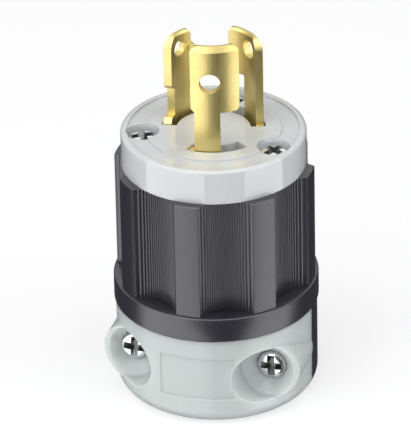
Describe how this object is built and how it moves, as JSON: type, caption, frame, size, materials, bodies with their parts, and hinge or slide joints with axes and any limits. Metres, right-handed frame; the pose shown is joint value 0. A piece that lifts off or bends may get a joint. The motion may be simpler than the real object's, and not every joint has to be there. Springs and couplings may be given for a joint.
{
  "type": "locking power plug",
  "caption": "Locking power plug with curved brass blades on a round white face, a ribbed black grip sleeve and a two-piece cord clamp.",
  "frame": {"origin": "centre of the clamp's flat bottom, where the cord enters, on the plug's axis", "axes": "+Z along the plug's axis from the cord clamp to the blade tips; the clamp's white half and its screws face -Y"},
  "size_m": [0.0358, 0.0358, 0.069],
  "materials": {
    "black_nylon": "satin black nylon",
    "white_nylon": "glossy white nylon",
    "clear_nylon": "milky natural nylon",
    "brass": "satin rolled brass",
    "zinc": "bright zinc-plated steel",
    "silver_plate": "nickel-plated terminal screw",
    "green_paint": "green dyed terminal screw"
  },
  "bodies": {
    "root": {"front_face": "white_nylon", "terminal_block": "white_nylon", "outer_shell": "black_nylon", "cord_clamp": "clear_nylon", "hot_blade": "brass", "neutral_blade": "brass", "earth_blade": "brass", "hot_clamp_plate": "brass", "neutral_clamp_plate": "brass", "earth_clamp_plate": "brass", "hot_terminal_screw": "brass", "neutral_terminal_screw": "silver_plate", "earth_terminal_screw": "green_paint", "assembly_screw_1": "zinc", "assembly_screw_2": "zinc", "assembly_screw_3": "zinc", "cord_clamp_screw_left": "zinc", "cord_clamp_screw_right": "zinc", "cord_clamp_insert_left": "brass", "cord_clamp_insert_right": "brass"}
  },
  "joints": []
}
